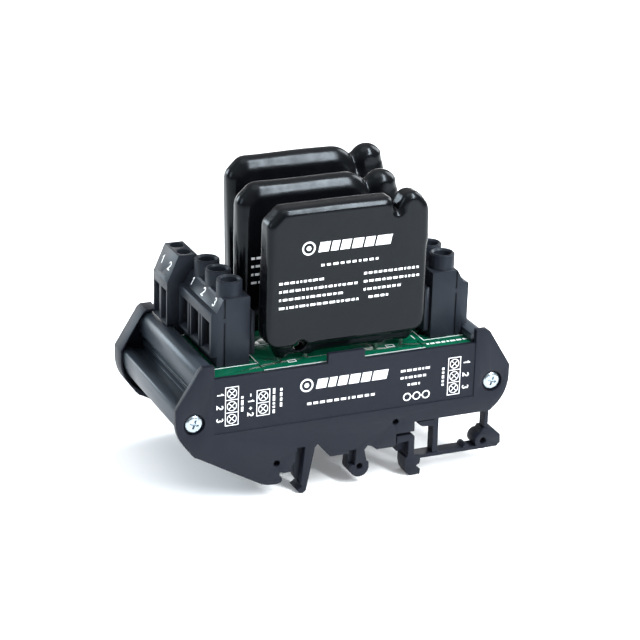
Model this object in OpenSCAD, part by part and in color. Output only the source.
// Three-pole solid state relay: dipped relay modules and terminals on a rail-mounted carrier.
// X runs across the rail, Y along it, Z up. The foot tips stand on Z = 0.
// Outlines in XZ are measured from the middle of the length and from the board's top face.

/* [Carrier] */
// Length of the end plates, across the rail
body_len = 90; // [90:1:96]
// Depth of the whole carrier, along the rail
body_depth = 46; // [46:1:60]
// Thickness of an end plate where it covers the profile
skin_t = 1.6; // [1.5:0.1:2]
// Thickness of an end plate's foot
foot_t = 5; // [4.5:0.5:6]
// Depth of the rail seat below the board's top face
rail_seat = 27.6; // [27.6:0.1:29]

/* [Circuit board] */
// Length of the circuit board
board_len = 71.8; // [71:0.1:72]
// Thickness of the circuit board
board_t = 1.6; // [1.4:0.1:1.6]

/* [Relay modules] */
// Length of a dipped module
module_len = 43.3; // [42:0.1:43.5]
// Height of a dipped module
module_h = 35.6; // [34:0.1:38]
// Thickness of a dipped module
module_t = 6.5; // [6.3:0.1:7.5]
// Distance from one module to the next
module_pitch = 15.24; // [14:0.01:15.3]

/* [Terminals] */
// Pole spacing of the load and line terminals
power_pitch = 7.62; // [7.5:0.01:7.65]
// Pole spacing of the control terminal
control_pitch = 5.08; // [5:0.01:5.1]
// Opening travel of a power clamp
power_travel = 2.5; // [1:0.1:2.5]
// Opening travel of a control clamp
control_travel = 2; // [1:0.1:2]

/* [Hidden] */
$fn = 48;

half_len = body_len / 2;
front_y = -body_depth / 2;
foot_reach = 6.3;
board_z = rail_seat + foot_reach;
seat = -rail_seat;
tip = -board_z;
eps = 0.05;

charcoal = [0.13, 0.14, 0.16];
deep_black = [0.05, 0.05, 0.06];
board_green = [0.02, 0.35, 0.2];
zinc = [0.75, 0.77, 0.8];
tinned = [0.72, 0.72, 0.7];
alumina = [0.85, 0.85, 0.82];

// End plate
ear_x = 35.2;
ear_top = 3.5;
label_depth = 0.3;
label_drop = 14.5;
foot_line = -19;

// Plate screws
plate_screw_x = 40.25;
plate_screw_z = -11;
plate_head_r = 2.25;
plate_head_h = 1;
plate_shank_r = 1.4;

// Carrier profile
floor_z = -18.9;
floor_t = 1.5;
side_x = 36.4;

// Board, in the plate's own heights
board_gap = 0.1;
board_depth = body_depth - 2 * skin_t - 2 * board_gap;

// Latch
latch_x = 14.1;
bar_z = seat - 1.95;
bar_t = 0.9;
lever_x = 38.6;

// Modules: left end of each, how far it stands up and leans back, and how much shorter it came out
module_z = 4.5;
module_x = [-20.7, -21.6, -17.7];
module_lift = [0, 1.1, 2.5];
module_lean = [0, 2, 4.5];
module_trim = [0.8, 0, 0];
module_y = front_y + 3;
lead_x = [5, 12, 31, 38];
lead_r = 0.5;

// Terminal blocks, measured from the wire side of each block
power_d = 10.1;
power_h = 17.5;
chimney_h = 21.5;
power_screw_x = 6;
power_shank_r = 1.45;
control_d = 8.6;
control_h = 21.1;
control_screw_x = 5.3;
control_shank_r = 1.05;
load_x = -33.5;
line_x = half_len - 9.2;
control_x = -36.4;
power_y = front_y + 7;
control_y = power_y + 3 * power_pitch + 0.5;
tab_z = 8.2;
tab_t = 0.8;
pin_reach = 3.2;
cage_bottom = 3.4;
cage_top = 10.5;
cage_room = 0.4;
lobe_clear_z = 2.8;

function arc(cx, cz, r, from, to, steps = 8) =
    [for (i = [0:steps]) let (a = from + (to - from) * i / steps) [cx + r * cos(a), cz + r * sin(a)]];

function flipped(pts) = [for (i = [len(pts) - 1:-1:0]) [-pts[i][0], pts[i][1]]];

// Stands an XZ outline up at depth y0 and gives it a thickness along Y.
module slab(y0, depth) {
    translate([0, y0 + depth, board_z])
        rotate([90, 0, 0])
            linear_extrude(depth)
                children();
}

// The same in a module's or a terminal block's own frame.
module along_row(y0, length) {
    translate([0, y0 + length, 0])
        rotate([90, 0, 0])
            linear_extrude(length)
                children();
}

// A round bar along Y, centred on x and z.
module rod_y(x, z, r, y0, depth) {
    translate([x, y0 + depth, board_z + z])
        rotate([90, 0, 0])
            cylinder(h = depth, r = r);
}

// ---------------------------------------------------------------- carrier profile

// Right side of the extrusion: board groove, upper lobe, ribbed wall, lower lobe.
function profile_side() = concat(
    [[side_x, floor_z + floor_t], [side_x, -3.1], [34.5, -3.1], [34.5, -board_t - 0.15]],
    [[36.2, -board_t - 0.15], [36.2, 0.1], [34.5, 0.1], [34.5, 2.1]],
    arc(36.8, 0.1, 2.45, 95, -10),
    [[39.2, -3.1], [38, -3.1], [38, -4.2], [38.4, -4.2], [38.4, -4.7], [38, -4.7]],
    [[38, -6], [38.4, -6], [38.4, -6.6], [38, -6.6], [38, -8.3]],
    [[40.4, -8], [41.6, -7.3], [42.6, -6.95]],
    arc(43.5, -7.75, 0.8, 90, 0, 4),
    arc(35.5, -9, 8.8, 0, -42),
    [[38.7, floor_z]]
);

module carrier_profile() {
    color(charcoal)
    difference() {
        slab(front_y + skin_t, body_depth - 2 * skin_t)
            polygon(concat(profile_side(), flipped(profile_side())));
        for (side = [-1, 1])
            rod_y(side * plate_screw_x, plate_screw_z, plate_shank_r + eps, front_y, body_depth);
    }
}

// ---------------------------------------------------------------- end plates

// Right shoulder of a plate, from the ear's inner edge out and down to the lower bend.
function shoulder() = concat(
    [[ear_x, 0], [ear_x, ear_top], [half_len - 6.9, ear_top], [half_len - 6, ear_top - 0.7]],
    [[half_len, -7]],
    arc(half_len - 10.5, -10, 10.5, 0, -50)
);

// The whole flat outline of a plate, with its hook, spring leg and latch corner.
module plate_outline() {
    step_below = [[half_len - 4.7, -18.9], [39.8, -19.1], [18.95, -19.1], [18.95, -21.7], [13.9, -21.7]];
    latch_corner = [[13.9, -24.8], [12.8, -25.15], [8.6, -25.1], [7.2, -24], [6.1, -23.6]];
    belly_line = [[5, -25.1], [-4, -25.1], [-4.5, -24.7], [-7.5, -21]];
    spring_leg = [[-8.3, -21.9], [-10.5, tip + 0.6], [-11.2, tip], [-12.1, tip], [-12.9, tip + 0.9],
        [-11.5, tip + 1.8], [-12.4, tip + 3.1], [-12.9, tip + 4.4], [-12.9, -22.2], [-13.5, -22.2]];
    rail_hook = concat(
        arc(-11.2, seat + 0.2, 3.4, 135, 180, 4),
        [[-14.6, seat], [-16.9, seat], [-17.05, seat + 0.2], [-17.65, seat + 0.2]],
        [[-17.65, seat - 1], [-17, seat - 1.3], [-17, seat - 1.9]],
        [[-17.3, seat - 2.4], [-18.4, seat - 2.75], [-20.8, seat - 2.6], [-22.4, seat - 2.15]],
        [[-31, -24.9], [-38.8, -20.4], [-half_len + 4.9, -19.8], [-half_len + 4, -18.9]]
    );
    polygon(concat(shoulder(), step_below, latch_corner, belly_line, spring_leg, rail_hook,
        flipped(shoulder())));
}

// Hanging boss between the leg and the latch, with a pin hole.
module boss_outline() {
    polygon(concat(
        [[1.6, -24.6], [1.6, seat + 0.2]],
        arc(4, -29.3, 2.6, 190, 350, 10),
        [[6.5, seat - 0.6], [5.9, seat], [5.2, -24.6]]
    ));
}

// Room inside a deep rim for the end of the profile.
module profile_pocket() {
    side = concat(
        [[ear_x - 0.3, ear_top + 2], [ear_x - 0.3, ear_top - 0.65], [half_len - 7.1, ear_top - 0.65]],
        [[half_len - 5.65, 1.9], [half_len - 0.55, -7.1]],
        arc(half_len - 10.5, -10, 9.95, 0, -50),
        [[39.4, foot_line]]
    );
    polygon(concat(side, flipped(side)));
}

// Hollows that thin the foot from its inner side, one cell between ribs each.
module foot_cells() {
    polygon([[-33.6, -20.6], [-27.2, -20.6], [-27.2, -24.3]]);
    polygon([[-25.9, -20.6], [-20, -20.6], [-20, seat + 0.6], [-21.7, seat + 0.6], [-25.9, -25.2]]);
    polygon([[-16.9, -20.6], [-14.9, -20.6], [-14.9, seat + 1.6], [-16.9, seat + 1.6]]);
    polygon([[-6.3, -20.6], [0.4, -20.6], [0.4, -23.7], [-4, -23.7]]);
    polygon([[1.7, -20.6], [8, -20.6], [8, -22.4], [5, -22.4], [4.4, -23.7], [1.7, -23.7]]);
    polygon([[9.3, -20.6], [12.6, -20.6], [12.6, -23.7], [9.3, -23.7]]);
}

// A plate at the front of the carrier. rim is how far its edge reaches round the profile.
module end_plate(rim) {
    color(charcoal)
    difference() {
        union() {
            slab(front_y, skin_t) plate_outline();
            slab(front_y, foot_t)
                intersection() {
                    plate_outline();
                    translate([-half_len, tip - 1]) square([body_len, foot_line - tip + 1]);
                }
            slab(front_y, foot_t) boss_outline();
            slab(front_y, skin_t) translate([-5.2, -1]) square([9.8, 3.5]);
            if (rim > skin_t)
                slab(front_y, rim)
                    difference() {
                        plate_outline();
                        profile_pocket();
                    }
        }
        // Label field
        slab(front_y - 1, label_depth + 1)
            translate([-ear_x, -label_drop]) square([2 * ear_x, label_drop + ear_top + 1]);
        // Screw seats
        for (side = [-1, 1]) {
            rod_y(side * plate_screw_x, plate_screw_z, plate_head_r + 0.5, front_y - 1, 2.1);
            rod_y(side * plate_screw_x, plate_screw_z, plate_shank_r + 0.3, front_y - 1, 4);
        }
        // Pin holes
        rod_y(-18.5, -24.7, 0.85, front_y - 1, foot_t + 2);
        rod_y(13.6, -18.3, 0.85, front_y - 1, skin_t + 2);
        rod_y(4, -29, 0.85, front_y - 1, foot_t + 2);
        // Thinned front of the spring leg and of the boss
        slab(front_y - 1, 3)
            polygon([[-13.2, -21.3], [-10.9, -21.3], [-11.8, tip + 2.6], [-13.2, tip + 2.6]]);
        slab(front_y - 1, 2.8)
            polygon([[1, -24.2], [3, -24.2], [2.8, seat - 0.9], [1, seat - 0.9]]);
        // Cells behind the foot
        slab(front_y + skin_t, foot_t) foot_cells();
    }
}

module front_end_plate() {
    end_plate(skin_t);
}

module back_end_plate() {
    mirror([0, 1, 0]) end_plate(foot_t);
}

// ---------------------------------------------------------------- rail latch

// Head of the latch: top arm, column, notch for the rail's brim and a lower hook.
module latch_head_outline() {
    polygon(concat(
        [[latch_x + 0.1, -22.5], [18.2, -22.5]],
        arc(18.2, -23.4, 0.9, 60, 0, 3),
        [[19.1, seat - 0.7], [20.7, seat - 0.7], [20.95, seat - 2.2], [20.7, seat - 3.3]],
        [[19.8, seat - 3.8], [21, seat - 4.9], [21, tip + 0.3], [20.7, tip], [17.9, tip]],
        [[17.1, tip + 1.4], [16.75, seat - 3.3], [16.75, seat - 1.2], [17.35, seat - 1]],
        [[17.35, seat], [15.2, seat], [14.9, -24.6], [latch_x + 0.1, -24.6]]
    ));
}

// The lower part of the frame that pulls the latch: bar and end block.
module latch_bar_outline() {
    translate([19, bar_z]) square([19, bar_t]);
    polygon([[37, bar_z], [42.7, bar_z], [43.7, bar_z + 0.95], [43.55, bar_z + 3.2],
        [41.2, bar_z + 5.5], [38.6, bar_z + 5.5], [37, bar_z + 3]]);
}

// The two slim posts that bend, and the arm that stops them.
module latch_posts_outline() {
    post_top = foot_line - 0.3;
    translate([24.4, bar_z + eps]) square([1.5, post_top - bar_z - eps]);
    translate([39, bar_z + 3]) square([1, post_top - bar_z - 3]);
    polygon([[20.3, post_top - 0.2], [25, post_top - 0.2], [25.9, -21.9], [24.4, -21.3],
        [21.2, -20.9], [20.3, -20.2]]);
}

module rail_latch() {
    latch_t = foot_t - 0.2;
    color(charcoal)
    difference() {
        union() {
            slab(front_y, latch_t) latch_head_outline();
            slab(front_y + 0.2, 3.8) latch_bar_outline();
            slab(front_y + 0.4, 3) latch_posts_outline();
            rod_y(lever_x, bar_z + 2.2, 2.2, front_y, latch_t);
            rod_y(34, bar_z + bar_t, 0.9, front_y + 0.3, 3.6);
        }
        rod_y(lever_x, bar_z + 2.2, 0.9, front_y - 1, latch_t + 2);
        slab(front_y - 1, 3.2)
            polygon([[14.5, -24.2], [17.5, -24.2], [17.5, seat - 0.2], [14.5, seat - 0.2]]);
    }
}

module front_rail_latch() {
    rail_latch();
}

module back_rail_latch() {
    mirror([0, 1, 0]) rail_latch();
}

// ---------------------------------------------------------------- plate screws

// One self-tapping screw with a domed cross-recess head, seated in the front plate.
module plate_screw(x) {
    head_y = front_y + 1.1;
    color(zinc)
    difference() {
        union() {
            translate([x, head_y, board_z + plate_screw_z])
                rotate([90, 0, 0]) {
                    cylinder(h = plate_head_h - 0.3, r = plate_head_r);
                    translate([0, 0, plate_head_h - 0.3])
                        cylinder(h = 0.3, r1 = plate_head_r, r2 = plate_head_r - 0.5);
                }
            rod_y(x, plate_screw_z, plate_shank_r, head_y - eps, 12);
        }
        for (turn = [0, 90])
            translate([x, front_y, board_z + plate_screw_z])
                rotate([0, turn + 20, 0])
                    cube([2.4, 1.3, 0.5], center = true);
    }
}

module front_plate_screws() {
    for (side = [-1, 1]) plate_screw(side * plate_screw_x);
}

module back_plate_screws() {
    mirror([0, 1, 0]) front_plate_screws();
}

// ---------------------------------------------------------------- circuit board

// Puts a module's own frame (x along, y back, z up from the board) in its place.
module at_module(n) {
    translate([module_x[n], module_y + n * module_pitch, board_z])
        rotate([-module_lean[n], 0, 0])
            children();
}

// Puts a terminal block's own frame (x from the wire side inwards) in its place.
module at_load() {
    translate([load_x, power_y, board_z]) children();
}

module at_line() {
    translate([line_x, power_y, board_z]) mirror([1, 0, 0]) children();
}

module at_control() {
    translate([control_x, control_y, board_z]) children();
}

module pin_holes(count, pitch, x) {
    for (n = [0:count - 1])
        translate([x, (n + 0.5) * pitch, -board_t - 1])
            cylinder(h = board_t + 2, r = 0.8);
}

module circuit_board() {
    color(board_green)
    difference() {
        translate([-board_len / 2, -board_depth / 2, board_z - board_t - eps])
            cube([board_len, board_depth, board_t]);
        at_load() pin_holes(3, power_pitch, 8.75);
        at_line() pin_holes(3, power_pitch, 8.75);
        at_control() pin_holes(2, control_pitch, 7.45);
        for (n = [0:2])
            for (x = lead_x)
                translate([module_x[n] + x, module_y + n * module_pitch + 3.75, board_z - board_t - 1])
                    cylinder(h = board_t + 2, r = lead_r + 0.25);
    }
}

// ---------------------------------------------------------------- relay modules

// Face of a dipped module, drawn in by d: rounded block with a lobe at its far top corner.
function module_outline(end, top, d) = concat(
    arc(3.3, module_z + 3.3, 3.3 - d, 270, 180, 5),
    arc(2.2, top - 4.7, 2.2 - d, 180, 135, 3),
    arc(5.2, top - 2.3, 2.2 - d, 135, 90, 3),
    arc(end - 11.5, top - 2.9, 2.8 - d, 90, 40, 4),
    [[end - 8.5, top - 5.4 - 1.5 * d]],
    arc(end - 4.9, top - 2.8, 2.8 - d, 170, 50, 8),
    arc(end - 3.2, top - 5.2, 3.2 - d, 45, 0, 4),
    arc(end - 3.3, module_z + 3.3, 3.3 - d, 0, -90, 5)
);

module coating(n) {
    top = module_z + module_h;
    end = module_len - module_trim[n];
    // Each layer: how far it stays off both faces, and how far its edge is drawn in
    layers = [[0, 1.6], [0.3, 0.9], [0.8, 0.4], [1.5, 0]];
    color(deep_black)
    at_module(n)
    translate([0, 0, module_lift[n]])
    difference() {
        for (layer = layers)
            along_row(layer[0], module_t - 2 * layer[0])
                polygon(module_outline(end, top, layer[1]));
        // Cavity left by the parts that the epoxy was cast around
        translate([2.95, 2.35, 6.95]) cube([37.4, 0.9, 26.1]);
        for (x = [8, 26]) translate([x - eps, 1.55, 15 - eps]) cube([8.1, 0.9, 8.1]);
        translate([17 - eps, 3.2, 24 - eps]) cube([9.1, 1.85, 5.1]);
        for (x = lead_x)
            translate([x, 3.75, module_z - 3]) cylinder(h = 12.6, r = lead_r + eps);
    }
}

module substrate(n) {
    color(alumina)
    at_module(n)
    translate([3, 2.4, 7 + module_lift[n]]) cube([37.3, 0.8, 26]);
}

module thyristors(n) {
    color(charcoal)
    at_module(n)
    for (x = [8, 26])
        translate([x, 1.6, 15 + module_lift[n]]) cube([8, 0.75, 8]);
}

module coupler(n) {
    color(charcoal)
    at_module(n)
    translate([17, 3.25, 24 + module_lift[n]]) cube([9, 1.75, 5]);
}

module leads(n) {
    color(tinned)
    at_module(n)
    for (x = lead_x)
        translate([x, 3.75, -pin_reach]) cylinder(h = pin_reach + 9.8 + module_lift[n], r = lead_r);
}

module relay_coating_1() coating(0);
module relay_coating_2() coating(1);
module relay_coating_3() coating(2);
module relay_substrate_1() substrate(0);
module relay_substrate_2() substrate(1);
module relay_substrate_3() substrate(2);
module relay_thyristors_1() thyristors(0);
module relay_thyristors_2() thyristors(1);
module relay_thyristors_3() thyristors(2);
module relay_coupler_1() coupler(0);
module relay_coupler_2() coupler(1);
module relay_coupler_3() coupler(2);
module relay_leads_1() leads(0);
module relay_leads_2() leads(1);
module relay_leads_3() leads(2);

// ---------------------------------------------------------------- terminal housings

// Clamp chamber, wire window with a funnel floor, and pin slot of one pole.
module pole_hollows(half_w, chamber_end, travel, leg_x) {
    chamber_floor = cage_bottom - cage_room;
    chamber_h = cage_top + travel + cage_room - chamber_floor;
    translate([1.4, -half_w, chamber_floor]) cube([chamber_end - 1.4, 2 * half_w, chamber_h]);
    along_row(-half_w + 0.1, 2 * half_w - 0.2)
        polygon([[-1, 3], [1.5, 4.2], [1.5, 11.2], [-1, 11.8]]);
    translate([leg_x - 0.1, -0.7, -1]) cube([0.9, 1.4, chamber_floor + 1.1]);
}

module power_housing() {
    row = 3 * power_pitch;
    color(charcoal)
    difference() {
        union() {
            along_row(0.05, row - 0.1)
                polygon([[1.5, 0], [1.5, lobe_clear_z], [0, lobe_clear_z], [0, 13.7], [0.3, 14], [1.4, 14.2],
                    [3.2, power_h - 0.05], [3.4, power_h], [power_d, power_h], [power_d, 0]]);
            along_row(1.5, row - 3) polygon([[power_d - 1, 2.4], [10.6, 2.4], [10.6, 13], [power_d - 1, 13]]);
            along_row(0.8, row - 1.6) polygon([[10.5, 2], [11.7, 2], [11.7, 13], [11.2, 13.5], [10.5, 13.5]]);
            for (n = [0:2])
                translate([power_screw_x, (n + 0.5) * power_pitch, power_h - 1]) {
                    cylinder(h = chimney_h - power_h + 0.7, r = 3.2);
                    cylinder(h = chimney_h - power_h + 1, r = 2.9);
                }
        }
        for (n = [0:2])
            translate([0, (n + 0.5) * power_pitch, 0]) {
                pole_hollows(2.65, 9.2, power_travel, 8.4);
                translate([power_screw_x, 0, 12]) cylinder(h = 12, r = power_shank_r + 0.25);
                translate([power_screw_x, 0, 15.5]) cylinder(h = 12, r = 2.2);
                translate([power_screw_x, 0, chimney_h - 0.5]) cylinder(h = 1, r1 = 2.2, r2 = 3.2);
            }
        // Slots between the poles on the wire side
        for (n = [1, 2])
            translate([-1, n * power_pitch - 0.45, 0.8]) cube([2.2, 0.9, 10.8]);
        // Shallow joint lines on both end faces
        for (y = [0.05, row - 0.05])
            for (z = [[-1, 12.4], [12.6, 10]])
                translate([3.2, y - 0.35, z[0]]) cube([0.5, 0.7, z[1]]);
    }
}

module load_terminal_housing() {
    at_load() power_housing();
}

module line_terminal_housing() {
    at_line() power_housing();
}

module control_terminal_housing() {
    row = 2 * control_pitch;
    color(charcoal)
    at_control()
    difference() {
        along_row(0, row)
            polygon([[2.1, 0], [2.1, lobe_clear_z], [0, lobe_clear_z], [0, 14.3], [0.2, 14.6],
                [3, control_h], [7.8, control_h], [control_d, control_h - 0.9], [control_d, 0]]);
        for (n = [0:1])
            translate([0, (n + 0.5) * control_pitch, 0]) {
                translate([0.45, 0, 0]) pole_hollows(1.95, 7.45, control_travel, 6.65);
                along_row(-1.85, 3.7) polygon([[-1, 3], [1.9, 4.2], [1.9, 11.2], [-1, 12.5]]);
                translate([control_screw_x, 0, 11]) cylinder(h = 12, r = control_shank_r + 0.25);
                translate([control_screw_x, 0, 17.4]) cylinder(h = 12, r = 1.8);
            }
        translate([-1, control_pitch - 0.2, 15.2]) cube([1.6, 0.4, 0.8]);
    }
}

// ---------------------------------------------------------------- contact tabs

// Bar that the clamp pulls the wire against, bent down into a solder pin.
module contact_tab(from, to, half_w) {
    translate([from, -half_w, tab_z]) cube([to - from, 2 * half_w, tab_t]);
    translate([to - 0.7, -0.6, -pin_reach]) cube([0.7, 1.2, pin_reach + tab_z + 0.1]);
}

module tab_row(count, pitch, from, to, half_w) {
    color(tinned)
    for (n = [0:count - 1])
        translate([0, (n + 0.5) * pitch, 0]) contact_tab(from, to, half_w);
}

module load_contact_tabs() {
    at_load() tab_row(3, power_pitch, 2.6, 9.1, 1.3);
}

module line_contact_tabs() {
    at_line() tab_row(3, power_pitch, 2.6, 9.1, 1.3);
}

module control_contact_tabs() {
    at_control() tab_row(2, control_pitch, 2.6, 7.8, 0.85);
}

// ---------------------------------------------------------------- clamp screws and cages, pole 1 at the back

// Slotted clamp screw standing on its head's seat; its tip stops just above the tab.
module clamp_screw(seat_z, head_r, shank_r, slot_turn) {
    head_h = 1.7;
    color(zinc)
    difference() {
        union() {
            translate([0, 0, seat_z + eps]) cylinder(h = head_h, r = head_r);
            translate([0, 0, tab_z + tab_t + 0.1])
                cylinder(h = seat_z - tab_z - tab_t, r = shank_r);
        }
        translate([0, 0, seat_z + head_h])
            rotate([0, 0, slot_turn])
                cube([3 * head_r, 0.6, 1.4], center = true);
    }
}

// Rising cage: a closed steel loop round the tab, with the screw's thread in its top wall.
module clamp_cage(length, half_w, wall, shank_r) {
    height = cage_top - cage_bottom;
    lower_wall = 0.9;
    upper_wall = 1.2;
    color(tinned)
    translate([0, 0, cage_bottom])
    difference() {
        translate([-length / 2, -half_w, 0]) cube([length, 2 * half_w, height]);
        translate([-length, -half_w + wall, lower_wall])
            cube([2 * length, 2 * (half_w - wall), height - lower_wall - upper_wall]);
        translate([0, 0, height - upper_wall - eps]) cylinder(h = upper_wall + 1, r = shank_r + 0.06);
    }
}

module power_screw(n) {
    translate([power_screw_x, (n + 0.5) * power_pitch, 0])
        clamp_screw(15.5, 1.95, power_shank_r, 25 + 50 * n);
}

module power_cage(n) {
    translate([power_screw_x, (n + 0.5) * power_pitch, 0])
        clamp_cage(4.4, 2.4, 0.8, power_shank_r);
}

module control_screw(n) {
    translate([control_screw_x, (n + 0.5) * control_pitch, 0])
        clamp_screw(17.4, 1.6, control_shank_r, 70 - 40 * n);
}

module control_cage(n) {
    translate([control_screw_x, (n + 0.5) * control_pitch, 0])
        clamp_cage(3.4, 1.75, 0.6, control_shank_r);
}

module load_screw_1() at_load() power_screw(2);
module load_screw_2() at_load() power_screw(1);
module load_screw_3() at_load() power_screw(0);
module line_screw_1() at_line() power_screw(2);
module line_screw_2() at_line() power_screw(1);
module line_screw_3() at_line() power_screw(0);
module control_screw_1() at_control() control_screw(1);
module control_screw_2() at_control() control_screw(0);
module load_clamp_1() at_load() power_cage(2);
module load_clamp_2() at_load() power_cage(1);
module load_clamp_3() at_load() power_cage(0);
module line_clamp_1() at_line() power_cage(2);
module line_clamp_2() at_line() power_cage(1);
module line_clamp_3() at_line() power_cage(0);
module control_clamp_1() at_control() control_cage(1);
module control_clamp_2() at_control() control_cage(0);

carrier_profile();
front_end_plate();
back_end_plate();
front_rail_latch();
back_rail_latch();
front_plate_screws();
back_plate_screws();
circuit_board();
relay_coating_1();
relay_coating_2();
relay_coating_3();
relay_substrate_1();
relay_substrate_2();
relay_substrate_3();
relay_thyristors_1();
relay_thyristors_2();
relay_thyristors_3();
relay_coupler_1();
relay_coupler_2();
relay_coupler_3();
relay_leads_1();
relay_leads_2();
relay_leads_3();
load_terminal_housing();
line_terminal_housing();
control_terminal_housing();
load_contact_tabs();
line_contact_tabs();
control_contact_tabs();
load_screw_1();
load_screw_2();
load_screw_3();
line_screw_1();
line_screw_2();
line_screw_3();
control_screw_1();
control_screw_2();
load_clamp_1();
load_clamp_2();
load_clamp_3();
line_clamp_1();
line_clamp_2();
line_clamp_3();
control_clamp_1();
control_clamp_2();
